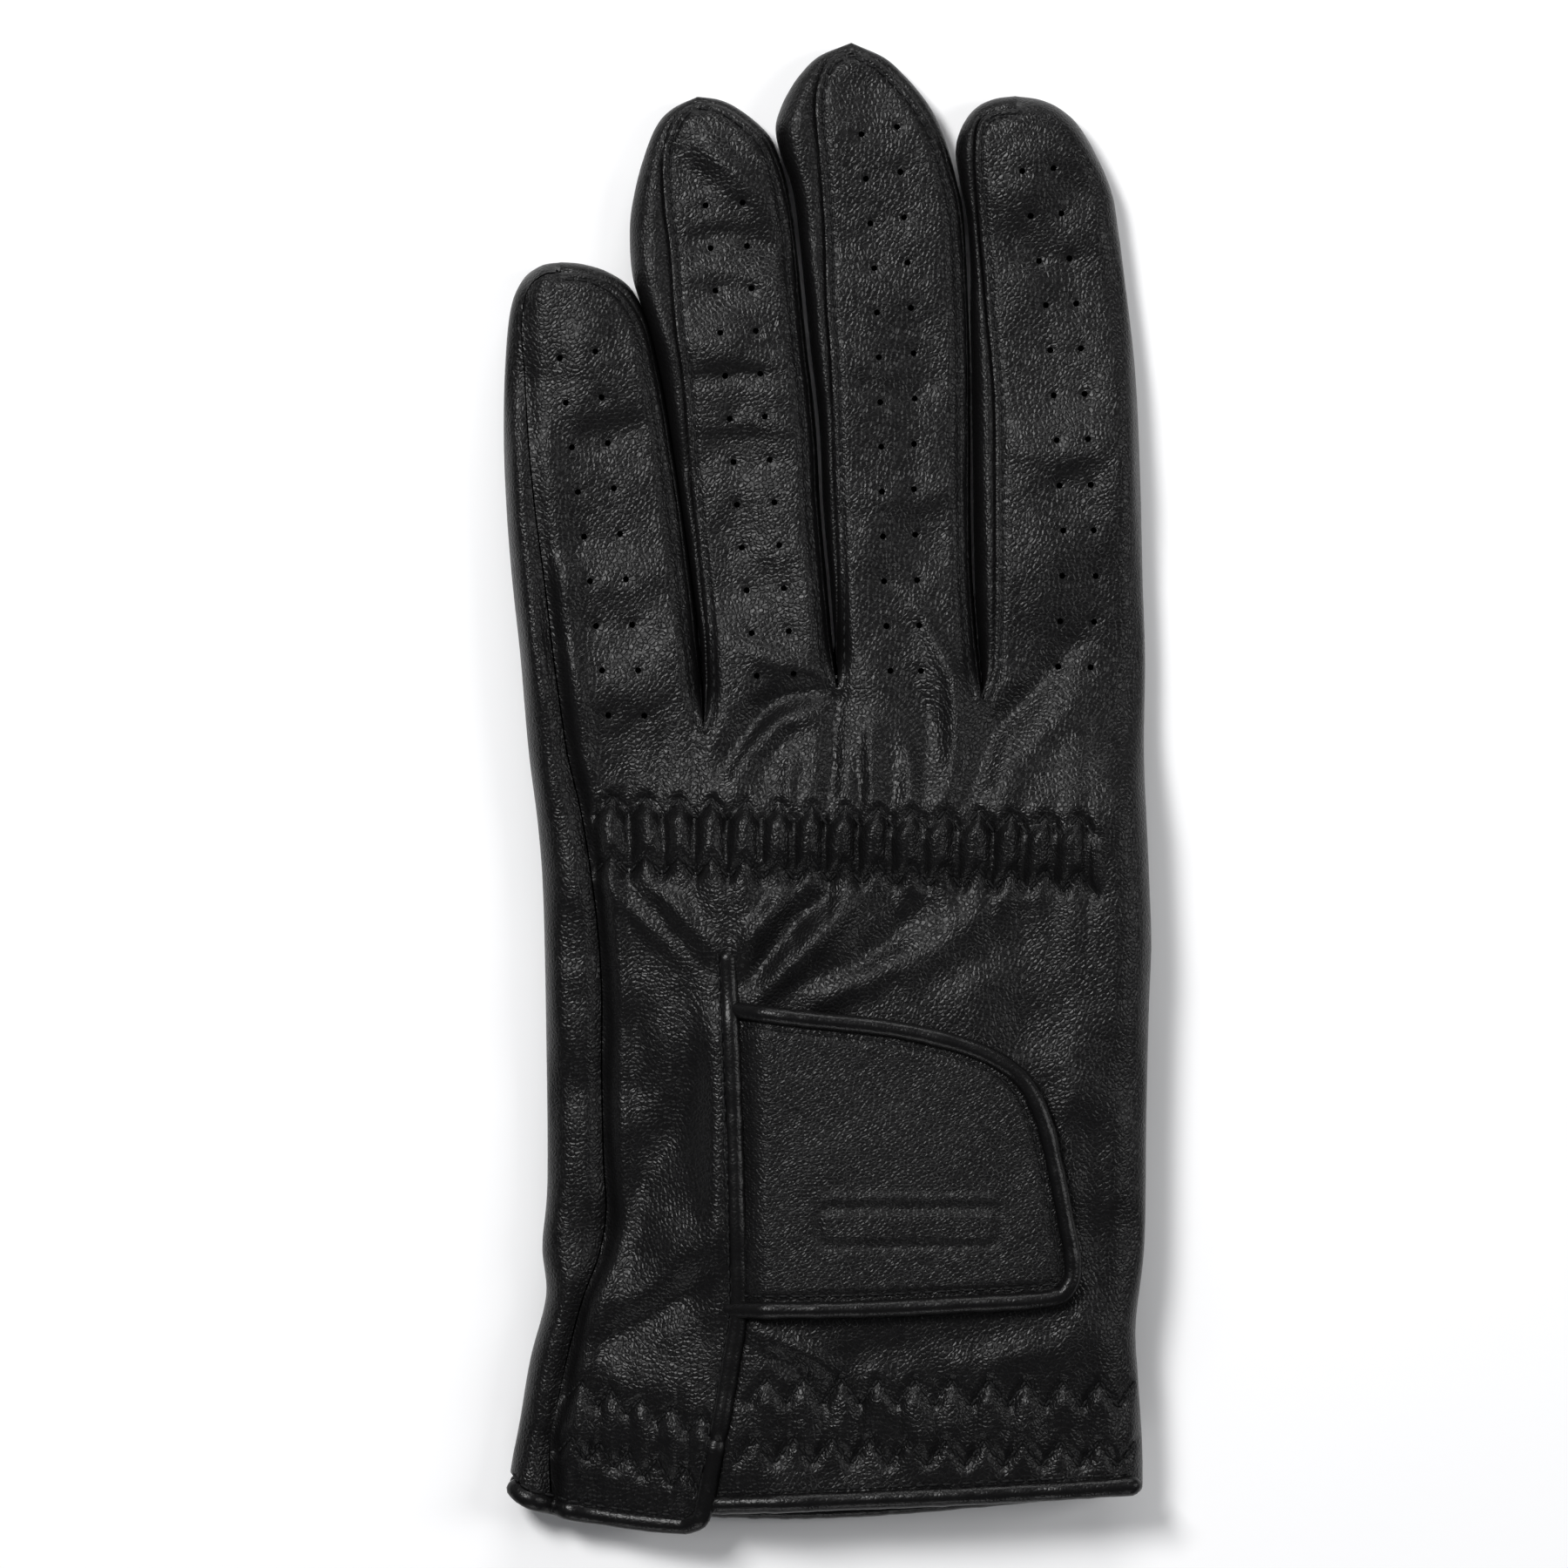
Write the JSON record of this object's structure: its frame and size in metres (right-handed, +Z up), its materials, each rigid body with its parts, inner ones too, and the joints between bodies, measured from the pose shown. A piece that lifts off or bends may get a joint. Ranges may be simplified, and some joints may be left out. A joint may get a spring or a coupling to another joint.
{
  "type": "golf glove",
  "caption": "Left-hand leather golf glove lying palm down, thumb folded under, elastic gathers at knuckles and cuff, and a wrap closing tab over the slit.",
  "frame": {"origin": "centre of the footprint on the surface the glove lies on", "axes": "+X towards the index finger, +Y towards the fingertips, +Z up out of the back of the hand"},
  "size_m": [0.104, 0.24, 0.0196],
  "materials": {
    "leather": "soft black sheepskin with fine grain and a low sheen",
    "side_leather": "the same soft leather, on the finger sides",
    "tab_leather": "firmer, flatter leather with a finer grain",
    "binding": "smooth rolled leather edge, slightly glossier",
    "elastic": "woven ribbed elastic, matte",
    "thread": "twisted polyester sewing thread",
    "loop": "brushed loop pile, matte",
    "hook": "moulded hook pad",
    "label": "woven satin label with nothing on it"
  },
  "bodies": {
    "hand": {"back_panel": "leather", "cuff_flap": "leather", "palm_panel": "leather", "pinky_ring_fourchette_fork": "side_leather", "ring_middle_fourchette_fork": "side_leather", "middle_index_fourchette_fork": "side_leather", "thumb_quirk": "side_leather", "flap_binding": "binding", "back_cuff_binding": "binding", "palm_cuff_binding": "binding", "flap_wrist_elastic": "elastic", "back_wrist_elastic": "elastic", "palm_wrist_elastic": "elastic", "knuckle_elastic": "elastic", "knuckle_zigzag_thread": "thread", "back_zigzag_thread": "thread", "flap_zigzag_thread": "thread", "loop_pad": "loop", "size_label": "label"},
    "pinky_finger": {"pinky_back": "leather", "pinky_palm": "leather", "pinky_right_fourchette": "side_leather"},
    "ring_finger": {"ring_back": "leather", "ring_palm": "leather", "ring_left_fourchette": "side_leather", "ring_right_fourchette": "side_leather"},
    "middle_finger": {"middle_back": "leather", "middle_palm": "leather", "middle_left_fourchette": "side_leather", "middle_right_fourchette": "side_leather"},
    "index_finger": {"index_back": "leather", "index_palm": "leather", "index_left_fourchette": "side_leather"},
    "thumb": {"thumb_outer": "leather", "thumb_inner": "leather"},
    "tab": {"tab_leather": "tab_leather", "tab_piping": "binding", "tab_stitching": "thread", "tab_hook_pad": "hook"}
  },
  "joints": [
    {"name": "pinky_curl", "type": "hinge", "parent": "hand", "child": "pinky_finger", "pos_m": [-0.0353, 0.031, 0.006], "axis": [-1, 0, 0], "range_deg": [-15, 90]},
    {"name": "ring_curl", "type": "hinge", "parent": "hand", "child": "ring_finger", "pos_m": [-0.0098, 0.031, 0.006], "axis": [-1, 0, 0], "range_deg": [-15, 90]},
    {"name": "middle_curl", "type": "hinge", "parent": "hand", "child": "middle_finger", "pos_m": [0.0129, 0.031, 0.006], "axis": [-1, 0, 0], "range_deg": [-15, 90]},
    {"name": "index_curl", "type": "hinge", "parent": "hand", "child": "index_finger", "pos_m": [0.0381, 0.031, 0.006], "axis": [-1, 0, 0], "range_deg": [-15, 90]},
    {"name": "thumb_swing", "type": "hinge", "parent": "hand", "child": "thumb", "pos_m": [0.05, -0.04, 0.0066], "axis": [0, -1, 0], "range_deg": [0, 150]},
    {"name": "tab_peel", "type": "hinge", "parent": "hand", "child": "tab", "pos_m": [-0.013, -0.0595, 0.0193], "axis": [0, -1, 0], "range_deg": [0, 150]}
  ]
}
